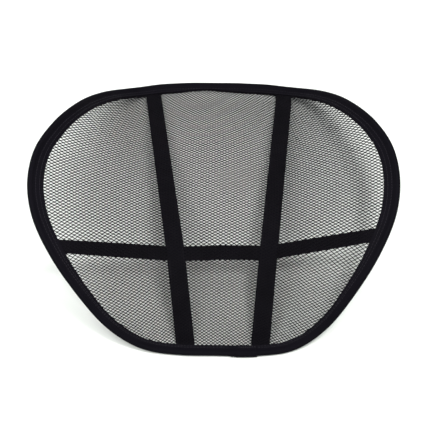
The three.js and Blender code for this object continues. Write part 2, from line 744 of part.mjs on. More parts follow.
// a rounded tip that wraps the end and both edges of the stay
function tip(name, side, high) {
  const wrap = 8;
  const inner = STAY / 2 + GAP;
  const shape = [];
  shape.push([-TIP / 2, TIP_LONG]);
  for (let k = 0; k <= 6; k++) {
    const a = Math.PI + (Math.PI * k) / 6;
    shape.push([(TIP / 2) * Math.cos(a), TIP / 2 + (TIP / 2) * Math.sin(a) * 0.8]);
  }
  shape.push([TIP / 2, TIP_LONG]);
  shape.push([inner, TIP_LONG], [inner, TIP_LONG - wrap], [-inner, TIP_LONG - wrap], [-inner, TIP_LONG]);
  const flat = shape.map(([x, y]) => new THREE.Vector2(x, y));
  const start = STAY_IN + 6 - GAP - (TIP_LONG - wrap);
  const place = ([x, y], depth) => {
    const v = high ? inFromHigh(side, start + y) : inFromLow(side, start + y);
    return onBand(side, v, BAND / 2 + x, depth);
  };
  const n = flat.length;
  const tris = THREE.ShapeUtils.triangulateShape(flat, []);
  const points = [];
  for (const depth of [STAY_FRONT, STAY_BACK]) {
    for (const p of flat) {
      points.push(place([p.x, p.y], depth));
    }
  }
  const triangles = [];
  for (const [a, b, c] of tris) {
    triangles.push([a, b, c], [n + a, n + c, n + b]);
  }
  for (let i = 0; i < n; i++) {
    const j = (i + 1) % n;
    triangles.push([i, n + j, j], [i, n + i, n + j]);
  }
  return body(name, 0x2a2a2e, points, triangles);
}

// ---- cross strap: edge to edge behind both bands, bent at each of them ----
function strap() {
  const half = STRAP / 2;
  const near = PLY_FRONT - 0.9;
  const stops = [];
  const onEdge = (s, u, turn) => {
    const [low, mid, high] = [-turn * half, 0, turn * half].map((d) => fromEdge(s + d, u, 0));
    stops.push({ low, mid, high, depth: PLY_FRONT });
  };
  // the strap's edges lie on the net's surface, half its width up and down from its line
  const onNet = (fn, u, depth, rise) => {
    const e = 0.01;
    const down = fn(u, SPLIT).distanceTo(fn(u, SPLIT - e)) / e;
    const up = fn(u, SPLIT).distanceTo(fn(u, SPLIT + e)) / e;
    const share = (d) => SPLIT + d / (d < 0 ? down : up);
    const [low, mid, high] = [rise - half, rise, rise + half].map((d) => fn(u, share(d)));
    stops.push({ low, mid, high, depth });
  };
  const m = marks;
  onEdge(m.strapLeft, TUCK, -1);
  onEdge(m.strapLeft, bindingWidth(m.strapLeft) - 0.3, -1);
  onNet(surface.left, 0.95, PLY_FRONT - 0.15, 0);
  for (const u of [0.8, 0.6, 0.4, 0.2]) {
    onNet(surface.left, u, lerp(STRAP_FRONT, near, u), STRAP_RISE[0] * (1 - u));
  }
  for (const u of [0.0, 0.08, 0.17, 0.5, 0.83, 0.92, 1.0]) {
    const beside = clamp01(1 - Math.min(u, 1 - u) / STRAP_SETTLE);
    onNet(surface.middle, u, STRAP_FRONT, STRAP_RISE[u < 0.5 ? 0 : 1] * beside);
  }
  for (const u of [0.2, 0.4, 0.6, 0.8]) {
    onNet(surface.right, u, lerp(STRAP_FRONT, near, u), STRAP_RISE[1] * (1 - u));
  }
  onNet(surface.right, 0.95, PLY_FRONT - 0.15, 0);
  onEdge(m.strapRight, bindingWidth(m.strapRight) - 0.3, 1);
  onEdge(m.strapRight, TUCK, 1);
  const sections = stops.map((s, k) => {
    const a = stops[Math.max(0, k - 1)].mid;
    const b = stops[Math.min(stops.length - 1, k + 1)].mid;
    const out = b.clone().sub(a).cross(s.high.clone().sub(s.low)).normalize();
    const behind = s.depth - TAPE;
    const at = (p, d) => p.clone().addScaledVector(out, d);
    const back = [at(s.low, behind), at(s.mid, behind), at(s.high, behind)];
    return [at(s.low, s.depth), ...back, at(s.high, s.depth), at(s.mid, s.depth)];
  });
  return loft("cross_strap", 0x1f1f25, sections, false, BAND_CAP);
}

const group = new THREE.Group();
group.name = "lumbar_support";
group.add(
  wire(),
  ferrule(),
  binding(),
  net(),
  frontBand("left_band_front", -1),
  frontBand("right_band_front", 1),
  backBand("left_band_back", -1),
  backBand("right_band_back", 1),
  stay("left_stay", -1),
  stay("right_stay", 1),
  tip("left_stay_tip_low", -1, false),
  tip("left_stay_tip_high", -1, true),
  tip("right_stay_tip_low", 1, false),
  tip("right_stay_tip_high", 1, true),
  strap(),
);
// the row's origin is the centre of the box round the whole support, at its underside
const box = new THREE.Box3().setFromObject(group);
const centre = box.getCenter(V3(0, 0, 0));
for (const mesh of group.children) {
  mesh.geometry.translate(-centre.x, -centre.y, -box.min.z);
}
export default group;
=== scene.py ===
"""Looks of the mesh lumbar support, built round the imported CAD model. Metres, in the CAD frame."""

import math

import bpy
import numpy as np
from mathutils import Matrix, Vector
from mathutils.bvhtree import BVHTree


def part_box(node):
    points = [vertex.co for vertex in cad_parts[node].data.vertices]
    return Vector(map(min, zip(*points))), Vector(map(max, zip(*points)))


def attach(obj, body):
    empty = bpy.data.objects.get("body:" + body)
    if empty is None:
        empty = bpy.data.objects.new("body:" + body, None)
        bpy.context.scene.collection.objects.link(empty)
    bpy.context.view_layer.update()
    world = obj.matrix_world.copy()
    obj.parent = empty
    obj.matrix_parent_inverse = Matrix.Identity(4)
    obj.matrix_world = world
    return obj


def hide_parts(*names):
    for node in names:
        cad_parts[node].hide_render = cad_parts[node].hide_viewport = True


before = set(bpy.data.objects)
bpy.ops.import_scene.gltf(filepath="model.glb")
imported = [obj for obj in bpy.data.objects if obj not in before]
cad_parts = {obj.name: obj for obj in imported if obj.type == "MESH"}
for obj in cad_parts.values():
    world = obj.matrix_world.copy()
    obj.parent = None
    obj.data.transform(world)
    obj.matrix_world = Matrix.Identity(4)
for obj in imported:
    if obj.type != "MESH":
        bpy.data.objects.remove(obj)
bpy.context.view_layer.update()

MM = 0.001

# ---- sizes shared with the CAD source ----
TAPE = 0.8 * MM                 # thickness of every tape
GAP = 0.35 * MM                 # clearance between layers
NET = 0.8 * MM                  # thickness that the CAD gives the net
WIRE_R = 2.0 * MM
WIRE_SIDES = 10                 # corners of the CAD wire's section
CHANNEL_R = WIRE_R + GAP
FOLD_R = CHANNEL_R + TAPE
NET_BASE = 2 * (TAPE + GAP) + NET / 2
WIRE_UP = FOLD_R - NET_BASE     # wire's centre above the net's middle
BINDING_TOP = 14.3 * MM
NARROW_BY = 3.8 * MM            # how much narrower the binding is mid way along the top edge
NARROW_AT = -7.5 * MM
NARROW_REACH = 30 * MM
BINDING_BOTTOM = 12.3 * MM
BINDING_SIDE = 18.2 * MM
BINDING_SECTIONS = 144          # sections that the CAD binding has round the rim
WING_LIFT = 95 * MM
LAP_START = 24.6 * MM           # binding's start, measured round from the bottom centre
LAP = 20 * MM

# ---- sampling ----
RIM_STATIONS = 600
OUTER_POINTS = 100              # across the binding's outer face
INNER_POINTS = 34               # across its inner face, a third of the steps
GRID = 2 * MM                   # spacing of the net's height grid
GRID_GROWTH = 12                # cells by which the grid is carried on past the net's edge
GRID_BLUR = (0.05, 0.24, 0.42, 0.24, 0.05)
SLOPE_NEAR = 3.6 * MM           # the net's slope at the rim is taken between these distances from the wire
SLOPE_FAR = 7.6 * MM
SLOPE_BLUR = 6                  # stations each way over which that slope is averaged
BAND_STEP = 1.6 * MM            # spacing of sections along the bands and the strap
BAND_ACROSS = 17                # points across a tape's face

# ---- net ----
HOLE_WIDE = 6.53 * MM           # full width of a diamond where the net is least gathered
HOLE_TALL_UPPER = 3.92 * MM     # full height in plan above the ridge
HOLE_TALL_LOWER = 2.78 * MM     # full height in plan below it
RIDGE_Y = -84.5 * MM
RIDGE_SOFT = 3.0                # lattice lines over which the height changes at the ridge
WIDEST_Y = 52 * MM              # plan height at which the net is least gathered
GATHER_UP = 243 * MM            # the columns close in above that as a parabola of this reach
GATHER_DOWN = 415 * MM          # and below it as one of this reach
CLOSE_IN = 0.105                # how much narrower the diamonds get far out on the wings
CLOSE_REACH = 90 * MM           # how far from the middle half of that is reached
LEAN = 0.022                    # how much the columns lean to the right
TILT = 0.032                    # how much the rows fall from left to right
DIP_SLOPE = 0.205               # how steeply the rows fall away on the wings
DIP_FROM = 48 * MM
DIP_SOFT = 20 * MM
COLUMNS = 76                    # half diamonds to each side of the middle
FIRST_LINE = -84                # lattice lines, counted up from the ridge
LAST_LINE = 149
THREAD_WIDE = 0.92 * MM
THREAD_TALL = 0.5 * MM
KNOT_APART = 0.16 * MM          # how far each of a knot's two threads stays short of its lattice line
KNOT_OVER = 0.1 * MM            # how far one lies over the net's middle and the other under it
STRAY_ALONG = 0.06 * MM         # spread of the knots' places along the rows
STRAY_ACROSS = 0.04 * MM        # and across them
NET_TUCK = 3.6 * MM             # how far the net runs in under the binding

# ---- binding ----
FOOT = 2 * MM                   # how far off the round part the front flap starts to climb to it
CLIMB_TO = 50                   # degrees round the wire at which the climb ends
CROWN_TO = 170                  # and at which the part that is drawn up at the lap begins
BACK_AT = 270                   # and at which the back flap begins
RIB_PITCH = 1.12 * MM
RIB_DEEP = 0.055 * MM
GROOVE_DEEP = 0.13 * MM         # groove that a row of stitches pulls into the tape
GROOVE_REACH = 0.45 * MM
ROUND_DEEP = 0.2 * MM           # rounding of the flaps' edges
ROUND_REACH = 0.25 * MM
WAVER = 0.07 * MM               # unevenness of the flap's edge
WAVER_ROUND = (23, 41, 67, 118, 171)    # waves of it in one turn of the rim
LAP_OVER = TAPE + 0.2 * MM      # how much larger the fold is where it laps: a tape and a clearance
LAP_CLIMB = 3 * MM              # length over which it grows to that
DRAW_FROM = 1.5 * MM            # where its back starts to draw up
DRAW_LONG = 5.25 * MM           # length over which it does
DRAWN_SHARE = 0.15              # share of the back that is left then
FLAP_INSET = 0.5 * MM
FLAP_TOP = NET / 2 + GAP + TAPE     # front flap's face above the net's middle
FLAP_BACK = WIRE_UP - FOLD_R        # back flap's face

# ---- stitches ----
STITCH = 2.7 * MM
STITCH_PITCH = 3.5 * MM
STITCH_R = 0.2 * MM
STITCH_SIDES = 6
STITCH_ALONG = (-0.5, -0.36, 0.0, 0.36, 0.5)    # sections of a stitch, in lengths from its middle
STITCH_LIFT = (-1.4, 0.25, 0.6, 0.25, -1.4)     # their centres above the face, in radii
STITCH_THICK = (0.55, 1.0, 1.0, 1.0, 0.55)      # their own radii, as shares of the full one
ROW_AT_WIRE = FOLD_R + 2.5 * MM     # the row along the wire, from the wire's centre
ROW_NARROW = 1.3 * MM           # the other row, from the flap's edge where the binding lies lowest
ROW_WIDE = 4.5 * MM             # and where it stands highest
ROW_SUNK = 0.1 * MM
BAND_ROW_SUNK = 0.08 * MM
FREE_BEFORE_LAP = 9 * MM        # length without front rows on each side of the lap
FREE_AFTER_LAP = 2 * MM
TACK_PITCH = 1.25 * MM          # zigzag tack on the lap
TACK_MARGIN = 1 * MM
TACK_FROM = ROW_AT_WIRE - 0.3 * MM
TACK_SHORT = 1.2 * MM           # how far it stops short of the flap's edge
TACK_LEAN = 0.6 * MM
TACK_SUNK = 0.03 * MM

# ---- band and strap tapes ----
TAPE_INSET = 0.04 * MM          # how much narrower than the CAD ribbon on each side
THIN_BY = 0.3 * MM              # how much each face falls at the tape's edge
THIN_REACH = 0.35 * MM
TAPE_ENDS = 0.2 * MM            # how much shorter than the CAD ribbon at each end
BAND_ROW = 2 * MM               # stitch rows, from the tape's edges
FRONT_FREE = 9 * MM             # length without stitches at each end of a front tape
BACK_FREE = 4 * MM              # and of a back tape


def smooth(t):
    t = np.clip(t, 0, 1)
    return t * t * (3 - 2 * t)


def lerp(a, b, t):
    return a + (b - a) * t


def unit(v):
    return v / np.maximum(np.linalg.norm(v, axis=-1, keepdims=True), 1e-12)


def cubic(a, b, leave, arrive, t):
    """Points on a cubic curve from a to b, with the velocities leave and arrive at its ends."""
    from_a = (2 * t**3 - 3 * t**2 + 1) * a + (t**3 - 2 * t**2 + t) * leave
    return from_a + (3 * t**2 - 2 * t**3) * b + (t**3 - t**2) * arrive


def distances(points):
    """Distance of each point along the line through them."""
    return np.concatenate([[0], np.cumsum(np.linalg.norm(np.diff(points, axis=0), axis=1))])


def sample(at, runs, points):
    """The line through points, which lie at the distances runs, at the distances at."""
    return np.stack([np.interp(at, runs, points[:, c]) for c in range(points.shape[1])], -1)


# ---- reading the CAD nodes ----
SAME_POINT = 0.002 * MM         # corners closer than this are one
CLEAR = 0.5                     # a height above every piece, and minus it is below them all


def corners(node):
    """A node's separate corner points."""
    co = np.array([v.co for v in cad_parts[node].data.vertices], float)
    keys = np.round(co / SAME_POINT).astype(np.int64)
    _, first = np.unique(keys, axis=0, return_index=True)
    return co[first]


def tree(node):
    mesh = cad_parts[node].data
    mesh.calc_loop_triangles()
    points = [v.co for v in mesh.vertices]
    return BVHTree.FromPolygons(points, [t.vertices for t in mesh.loop_triangles])


def height(bvh, x, y, down=True):
    """Height of the surface at a plan point: its top, or its underside where down is False."""
    start = Vector((x, y, CLEAR if down else -CLEAR))
    hit = bvh.ray_cast(start, Vector((0, 0, -1 if down else 1)))[0]
    return math.nan if hit is None else hit.z


# ---- mesh makers ----
def mesh_object(name, points, faces, material, uvs=None):
    """One mesh object. uvs, where given, holds a place in metres on the cloth for each point."""
    mesh = bpy.data.meshes.new(name)
    mesh.from_pydata(points.tolist(), [], faces)
    if uvs is not None:
        layer = mesh.uv_layers.new(name="UVMap")
        loops = np.zeros(len(mesh.loops), np.int32)
        mesh.loops.foreach_get("vertex_index", loops)
        layer.data.foreach_set("uv", uvs[loops].astype(np.float32).ravel())
    mesh.polygons.foreach_set("use_smooth", np.ones(len(mesh.polygons), bool))
    mesh.materials.append(material)
    mesh.update()
    made = bpy.data.objects.new(name, mesh)
    bpy.context.scene.collection.objects.link(made)
    return made


def ring_faces(sections, ring, start=0):
    """Quads that join sections of ring points each, in order."""
    faces = []
    for k in range(sections - 1):
        a = start + k * ring
        b = a + ring
        for i in range(ring):
            j = (i + 1) % ring
            faces.append((a + i, a + j, b + j, b + i))
    return faces


# ---- materials ----
class Graph:
    """A material's node tree, with short calls for its nodes."""

    def __init__(self, name):
        self.material = bpy.data.materials.new(name)
        self.material.use_nodes = True
        self.tree = self.material.node_tree
        self.tree.nodes.clear()

    def node(self, kind, inputs=None, **settings):
        made = self.tree.nodes.new(kind)
        for key, value in settings.items():
            setattr(made, key, value)
        for key, value in (inputs or {}).items():
            self.feed(made.inputs[key], value)
        return made

    def feed(self, socket, value):
        if isinstance(value, bpy.types.NodeSocket):
            self.tree.links.new(value, socket)
        else:
            socket.default_value = value

    def place(self):
        """The place in the object, in metres."""
        return self.node("ShaderNodeTexCoord").outputs["Object"]

    def math(self, operation, a, b=0.0):
        return self.node("ShaderNodeMath", {0: a, 1: b}, operation=operation).outputs[0]

    def blend(self, a, share_a, b, share_b):
        """The sum of two values, each times its share."""
        return self.math("ADD", self.math("MULTIPLY", a, share_a), self.math("MULTIPLY", b, share_b))

    def wave(self, value, pitch):
        """A wave of the given pitch along value, from -1 to 1."""
        return self.math("SINE", self.math("MULTIPLY", value, 2 * math.pi / pitch))

    def mix(self, share, a, b):
        made = self.node("ShaderNodeMix", {"Factor": share}, data_type="RGBA")
        self.feed(made.inputs[6], a)
        self.feed(made.inputs[7], b)
        return made.outputs[2]

    def ramp(self, value, low, high):
        made = self.node("ShaderNodeMapRange", {"Value": value, "From Min": low, "From Max": high})
        return made.outputs["Result"]

    def noise(self, coordinates, scale, detail=2.0):
        inputs = {"Vector": coordinates, "Scale": scale, "Detail": detail}
        return self.node("ShaderNodeTexNoise", inputs).outputs["Fac"]

    def finish(self, bump_height, bump, **surface):
        """Joins the surface's inputs to a shader, and gives the material."""
        shader = self.node("ShaderNodeBsdfPrincipled")
        for key, value in surface.items():
            self.feed(shader.inputs[key.replace("_", " ")], value)
        if bump_height is not None:
            inputs = {"Height": bump_height, "Strength": 1.0, "Distance": bump}
            self.feed(shader.inputs["Normal"], self.node("ShaderNodeBump", inputs).outputs["Normal"])
        out = self.node("ShaderNodeOutputMaterial")
        self.tree.links.new(shader.outputs[0], out.inputs["Surface"])
        return self.material


def colour(r, g, b):
    return (r, g, b, 1.0)


def tape_material(name, dark, light, across, along, bump):
    """Woven tape: ribs of pitch across, crossed by picks of pitch along that step from rib to rib. Its
    colour carries painted shade in the weave's hollows and a painted highlight on its ridges, over the
    tape's own random fuzz and patches.
    """
    g = Graph(name)
    uv = g.node("ShaderNodeTexCoord").outputs["UV"]
    where = g.place()
    parts = g.node("ShaderNodeSeparateXYZ", {"Vector": uv})
    ribs = g.wave(parts.outputs["X"], across)
    picks = g.wave(parts.outputs["Y"], along)
    relief = g.blend(g.math("MULTIPLY", ribs, picks), 0.5, ribs, 0.3)
    fuzz = g.noise(where, scale=2600.0)
    patches = g.noise(where, scale=38.0, detail=3.0)
    # tone: the weave's relief painted in as shade in its hollows and highlight on its ridges, plus fuzz
    # and patches as the tape's own random tone
    tone = g.math("ADD", g.blend(relief, 0.32, fuzz, 0.5), g.math("MULTIPLY", patches, 0.55))
    return g.finish(
        g.blend(relief, 0.5, fuzz, 0.5),
        bump,
        Base_Color=g.mix(g.ramp(tone, 0.15, 0.95), dark, light),
        Roughness=g.ramp(patches, -1.2, 1.35),
        Specular_IOR_Level=0.03,
        Sheen_Weight=0.012,
        Sheen_Roughness=0.45,
        Sheen_Tint=colour(0.72, 0.7, 0.85),
    )


def thread_material(name, dark, light, grain, sheen):
    """Twisted yarn: fine fibres and slow changes of tone."""
    g = Graph(name)
    where = g.place()
    fibre = g.noise(where, grain, detail=3.0)
    slow = g.noise(where, scale=55.0)
    return g.finish(
        fibre,
        0.1 * MM,
        Base_Color=g.mix(g.ramp(g.blend(fibre, 0.6, slow, 0.4), 0.3, 0.7), dark, light),
        Roughness=g.ramp(fibre, -1.0, 1.3),
        Specular_IOR_Level=0.03,
        Sheen_Weight=sheen,
        Sheen_Roughness=0.4,
        Sheen_Tint=colour(0.78, 0.75, 0.9),
    )


def steel_material(name, tone, squeeze, roughness):
    """Drawn or rolled steel: fine lines one way, and faint handling marks."""
    g = Graph(name)
    where = g.place()
    drawn = g.node("ShaderNodeMapping", {"Vector": where, "Scale": squeeze}).outputs[0]
    lines = g.noise(drawn, scale=900.0, detail=4.0)
    marks = g.noise(where, scale=70.0, detail=3.0)
    base = g.mix(g.ramp(marks, 0.35, 0.7), tone, [0.7 * c for c in tone[:3]] + [1.0])
    rough = g.math("ADD", g.math("MULTIPLY", lines, 0.2), roughness - 0.1)
    return g.finish(lines, 0.03 * MM, Base_Color=base, Metallic=1.0, Roughness=rough)


def plastic_material(name, tone):
    """Moulded plastic: fine grain and a little wear."""
    g = Graph(name)
    where = g.place()
    grain = g.noise(where, scale=1500.0)
    wear = g.noise(where, scale=90.0, detail=3.0)
    base = g.mix(g.ramp(wear, 0.4, 0.75), tone, [1.5 * c for c in tone[:3]] + [1.0])
    return g.finish(grain, 0.04 * MM, Base_Color=base, Roughness=g.ramp(grain, -0.6, 1.5))


BINDING = tape_material(
    "binding_tape",
    dark=colour(0.0012, 0.001, 0.002),
    light=colour(0.0048, 0.0042, 0.0066),
    across=0.56 * MM,
    along=0.9 * MM,
    bump=0.12 * MM,
)
BAND = tape_material(
    "band_tape",
    dark=colour(0.0008, 0.0007, 0.0016),
    light=colour(0.0032, 0.0027, 0.0052),
    across=1.0 * MM,
    along=0.8 * MM,
    bump=0.14 * MM,
)
STRAP = tape_material(
    "strap_elastic",
    dark=colour(0.0013, 0.0011, 0.0022),
    light=colour(0.005, 0.0044, 0.007),
    across=1.3 * MM,
    along=0.6 * MM,
    bump=0.16 * MM,
)
NET_YARN = thread_material(
    "net_yarn",
    dark=colour(0.002, 0.0018, 0.0024),
    light=colour(0.0058, 0.0052, 0.0068),
    grain=2400.0,
    sheen=0.015,
)
SEWING = thread_material(
    "sewing_thread",
    dark=colour(0.007, 0.0066, 0.008),
    light=colour(0.022, 0.0205, 0.025),
    grain=3200.0,
    sheen=0.12,
)
WIRE_STEEL = steel_material("spring_wire_steel", colour(0.42, 0.43, 0.45), (1.0, 1.0, 6.0), 0.34)
FERRULE_STEEL = steel_material("ferrule_steel", colour(0.56, 0.56, 0.58), (0.2, 4.0, 4.0), 0.42)
STAY_STEEL = steel_material("stay_steel", colour(0.5, 0.51, 0.53), (6.0, 0.15, 6.0), 0.3)
TIP_PLASTIC = plastic_material("stay_tip_plastic", colour(0.03, 0.03, 0.033))

# the pieces that stay as the CAD nodes
for names, material in (
    (["perimeter_wire"], WIRE_STEEL),
    (["wire_ferrule"], FERRULE_STEEL),
    (["left_stay", "right_stay"], STAY_STEEL),
    ([f"{side}_stay_tip_{end}" for side in ("left", "right") for end in ("low", "high")], TIP_PLASTIC),
):
    for name in names:
        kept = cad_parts[name]
        kept.data.materials.clear()
        kept.data.materials.append(material)


# ---- the rim: the wire's line and the directions round it ----
def wire_centres():
    """Centres of the wire's sections, anticlockwise from the bottom, where its ends meet."""
    points = corners("perimeter_wire")
    order = np.argsort(-np.arctan2(points[:, 0], points[:, 1]))
    return points[order].reshape(-1, WIRE_SIDES, 3).mean(1)


def closed_curve(points, count):
    """Evenly spaced points on a smooth closed curve through points."""
    after = np.roll(points, -1, 0)
    spans = np.linalg.norm(after - points, axis=1)
    knots = np.concatenate([[0], np.cumsum(spans)])
    slope = (after - np.roll(points, 1, 0)) / (spans + np.roll(spans, 1))[:, None]
    where = np.arange(count) / count * knots[-1]
    k = np.clip(np.searchsorted(knots, where, side="right") - 1, 0, len(points) - 1)
    h = spans[k][:, None]
    t = (where - knots[k])[:, None] / h
    return cubic(points[k], after[k], h * slope[k], h * np.roll(slope, -1, 0)[k], t)


def smooth_round(values, reach):
    """Values round the rim, each averaged with its neighbours."""
    weights = np.hanning(2 * reach + 3)[1:-1]
    weights /= weights.sum()
    return sum(w * np.roll(values, k - reach, 0) for k, w in enumerate(weights))


net_tree = tree("mesh_panel")
UPRIGHT = np.array([0.0, 0.0, 1.0])


def net_slope(start, inward):
    """The net's rise over its run beside the rim, from start in the level direction inward."""
    heights = []
    for reach in (SLOPE_NEAR, SLOPE_FAR):
        x, y, _ = start + inward * reach
        heights.append((height(net_tree, x, y) + height(net_tree, x, y, False)) / 2)
    return (heights[1] - heights[0]) / (SLOPE_FAR - SLOPE_NEAR)


def rim_frames():
    """For each station: the net's middle under the wire, three directions, and the binding's width."""
    centre = closed_curve(wire_centres(), RIM_STATIONS)
    along = unit(np.roll(centre, -1, 0) - np.roll(centre, 1, 0))
    level_in = unit(np.cross(UPRIGHT, along))
    slopes = smooth_round(np.array([net_slope(c, d) for c, d in zip(centre, level_in)]), SLOPE_BLUR)
    inward = level_in + UPRIGHT * slopes[:, None]
    inward = unit(inward - along * (inward * along).sum(1, keepdims=True))
    out = unit(np.cross(along, inward))
    under = centre - out * WIRE_UP
    lift = np.clip((under[:, 2] - NET_BASE) / WING_LIFT, 0, 1)
    narrow = NARROW_BY * np.exp(-(((centre[:, 0] - NARROW_AT) / NARROW_REACH) ** 2))
    ends = np.where(centre[:, 1] > 0, BINDING_TOP - narrow, BINDING_BOTTOM)
    width = lerp(ends, BINDING_SIDE, lift**2) - FOLD_R
    return {"origin": under, "along": along, "in": inward, "out": out, "width": width, "lift": lift}


RIM = rim_frames()
rim_spans = np.roll(RIM["origin"], -1, 0) - RIM["origin"]
RIM_LENGTH = float(np.linalg.norm(rim_spans, axis=1).sum())


def rim_at(s):
    """The rim's frame at distances s round from the bottom centre."""
    at = np.asarray(s) / RIM_LENGTH * RIM_STATIONS
    k = np.floor(at).astype(int)
    t = at - k
    found = {}
    for key, values in RIM.items():
        a, b = values[k % RIM_STATIONS], values[(k + 1) % RIM_STATIONS]
        found[key] = lerp(a, b, t[:, None] if values.ndim > 1 else t)
    return found


def rim_place(at, u, v):
    """Points u in from the wire along the net and v out of its front."""
    return at["origin"] + at["in"] * np.asarray(u)[..., None] + at["out"] * np.asarray(v)[..., None]


# ---- the net's middle surface as a grid of heights ----
def filled_once(grid):
    """The grid with each gap that has neighbours set to their mean."""
    padded = np.pad(grid, 1, constant_values=np.nan)
    tall, wide = grid.shape
    shifts = [(dy, dx) for dy in range(3) for dx in range(3) if (dy, dx) != (1, 1)]
    stack = np.array([padded[dy : dy + tall, dx : dx + wide] for dy, dx in shifts])
    count = (~np.isnan(stack)).sum(0)
    mean = np.where(count > 0, np.nansum(stack, 0) / np.maximum(count, 1), np.nan)
    return np.where(np.isnan(grid), mean, grid)


def height_grid():
    low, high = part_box("mesh_panel")
    xs = np.arange(low.x, high.x + GRID, GRID)
    ys = np.arange(low.y, high.y + GRID, GRID)
    grid = np.array([[height(net_tree, x, y) for x in xs] for y in ys])
    for _ in range(GRID_GROWTH):
        grid = filled_once(grid)
    grid = np.where(np.isnan(grid), np.nanmean(grid), grid)
    half = len(GRID_BLUR) // 2
    for axis in (0, 1):
        grid = sum(w * np.roll(grid, k - half, axis) for k, w in enumerate(GRID_BLUR))
    rise_y, rise_x = np.gradient(grid, GRID)
    steep = np.sqrt(1 + rise_x**2 + rise_y**2)
    return {"x0": low.x, "y0": low.y, "z": grid - NET / 2 * steep, "dx": rise_x, "dy": rise_y}


NET_GRID = height_grid()
LAST_CELL = 1.001               # from the grid's size to a place just inside its last cell


def on_net(x, y):
    """Height of the net's middle and its slopes at plan points."""
    tall, wide = NET_GRID["z"].shape
    fx = np.clip((x - NET_GRID["x0"]) / GRID, 0, wide - LAST_CELL)
    fy = np.clip((y - NET_GRID["y0"]) / GRID, 0, tall - LAST_CELL)
    i, j = fx.astype(int), fy.astype(int)
    s, t = fx - i, fy - j
    found = []
    for key in ("z", "dx", "dy"):
        g = NET_GRID[key]
        low = lerp(g[j, i], g[j, i + 1], s)
        high = lerp(g[j + 1, i], g[j + 1, i + 1], s)
        found.append(lerp(low, high, t))
    return found


# ---- the net: rows of zigzag yarn that meet at knots ----
def row_line(j):
    """Plan height of lattice line j in the middle of the net, with line 0 on the ridge."""
    mean = (HOLE_TALL_UPPER + HOLE_TALL_LOWER) / 4
    change = (HOLE_TALL_UPPER - HOLE_TALL_LOWER) / 4
    return RIDGE_Y + mean * j + change * (np.sqrt(j * j + RIDGE_SOFT * RIDGE_SOFT) - RIDGE_SOFT)


def dip(x):
    """How far a row has fallen at x, and its slope there."""
    d = np.abs(x) - DIP_FROM
    root = np.sqrt(d * d + DIP_SOFT**2)
    return DIP_SLOPE * (d + root) / 2, DIP_SLOPE * (1 + d / root) / 2 * np.sign(x)


def net_edge():
    """The net's edge under the binding in plan, as radius against direction."""
    at = rim_at(np.arange(RIM_STATIONS) / RIM_STATIONS * RIM_LENGTH)
    edge = rim_place(at, at["width"] - NET_TUCK, 0 * at["width"])
    turn = np.arctan2(edge[:, 1], edge[:, 0])
    order = np.argsort(turn)
    return turn[order], np.hypot(edge[:, 0], edge[:, 1])[order]


def yarn(k, rng):
    """Plan places along the yarn between lattice lines k and k + 1, and its four corners at each."""
    steps = np.arange(-COLUMNS, COLUMNS + 1)
    up = (steps + k) % 2
    base = row_line((k + up).astype(float)) + np.where(up == 0, KNOT_APART, -KNOT_APART)
    above = base - WIDEST_Y
    gather = 1 - (above / np.where(above > 0, GATHER_UP, GATHER_DOWN)) ** 2
    x = steps * HOLE_WIDE / 2 * gather
    x -= CLOSE_IN * (x - CLOSE_REACH * np.arctan(x / CLOSE_REACH))
    x += LEAN * above + rng.normal(0, STRAY_ALONG, len(steps))
    base += rng.normal(0, STRAY_ACROSS, len(steps))
    fall, slope = dip(x)
    y = base - fall - TILT * x
    z, dx, dy = on_net(x, y)
    level = np.ones_like(x)
    normal = unit(np.stack([-dx, -dy, level], 1))
    row = unit(np.stack([level, -slope - TILT, dx - (slope + TILT) * dy], 1))
    over = np.where(up == 0, KNOT_OVER, -KNOT_OVER)
    centre = np.stack([x, y, z], 1) + normal * over[:, None]
    b = np.cross(normal, row) * THREAD_WIDE / 2
    n = normal * THREAD_TALL / 2
    return x, y, np.stack([centre + b + n, centre - b + n, centre - b - n, centre + b - n], 1)


def make_net():
    rng = np.random.default_rng(11)
    edge_turn, edge_radius = net_edge()
    points, faces = [], []
    ring = 4
    for k in range(FIRST_LINE, LAST_LINE + 1):
        x, y, sections = yarn(k, rng)
        reach = np.interp(np.arctan2(y, x), edge_turn, edge_radius, period=2 * math.pi)
        kept = np.flatnonzero(np.hypot(x, y) < reach)
        for run in np.split(kept, np.flatnonzero(np.diff(kept) > 1) + 1):
            if len(run) > 1:
                start = len(points) * ring
                points.extend(sections[run])
                faces.append(tuple(start + c for c in reversed(range(ring))))
                faces.extend(ring_faces(len(run), ring, start))
                last = (len(points) - 1) * ring
                faces.append(tuple(last + c for c in range(ring)))
    return mesh_object("net", np.concatenate(points), faces, NET_YARN)


# ---- the binding: ribbed tape folded round the wire ----
def fold_line(width, radius, flap, grow, back_share):
    """The fold's section from the front flap's edge round to the back flap's, as a fine polyline.
    u runs in from the wire and v out of the net's front. grow is how far a lap stands off, and
    back_share how much of the part past the crown it keeps."""
    r = radius + grow

    def round_wire(degrees):
        angles = np.radians(degrees)
        return np.stack([r * np.cos(angles), WIRE_UP + r * np.sin(angles)], -1)

    foot = np.array([radius + FOOT, flap + grow])
    front = np.stack([np.linspace(width, foot[0], 12), np.full(12, foot[1])], 1)[:-1]
    met = round_wire(CLIMB_TO)
    pull = np.linalg.norm(met - foot)
    heading = round_wire(CLIMB_TO + 90) - (0, WIRE_UP)
    t = np.linspace(0, 1, 9)[:-1, None]
    climb = cubic(foot, met, pull * np.array([-1.0, 0.0]), pull * heading / r, t)
    crown = round_wire(np.linspace(CLIMB_TO, CROWN_TO, 13))[:-1]

    heel = round_wire(np.linspace(CROWN_TO, BACK_AT, 12))
    heel[:, 1] = np.maximum(heel[:, 1], WIRE_UP - FOLD_R)
    back = np.stack([np.linspace(0, width, 16)[1:], np.full(15, WIRE_UP - radius)], 1)
    tail = np.concatenate([heel, back])
    runs = distances(tail)
    return np.concatenate([front, climb, crown, sample(runs * back_share, runs, tail)])


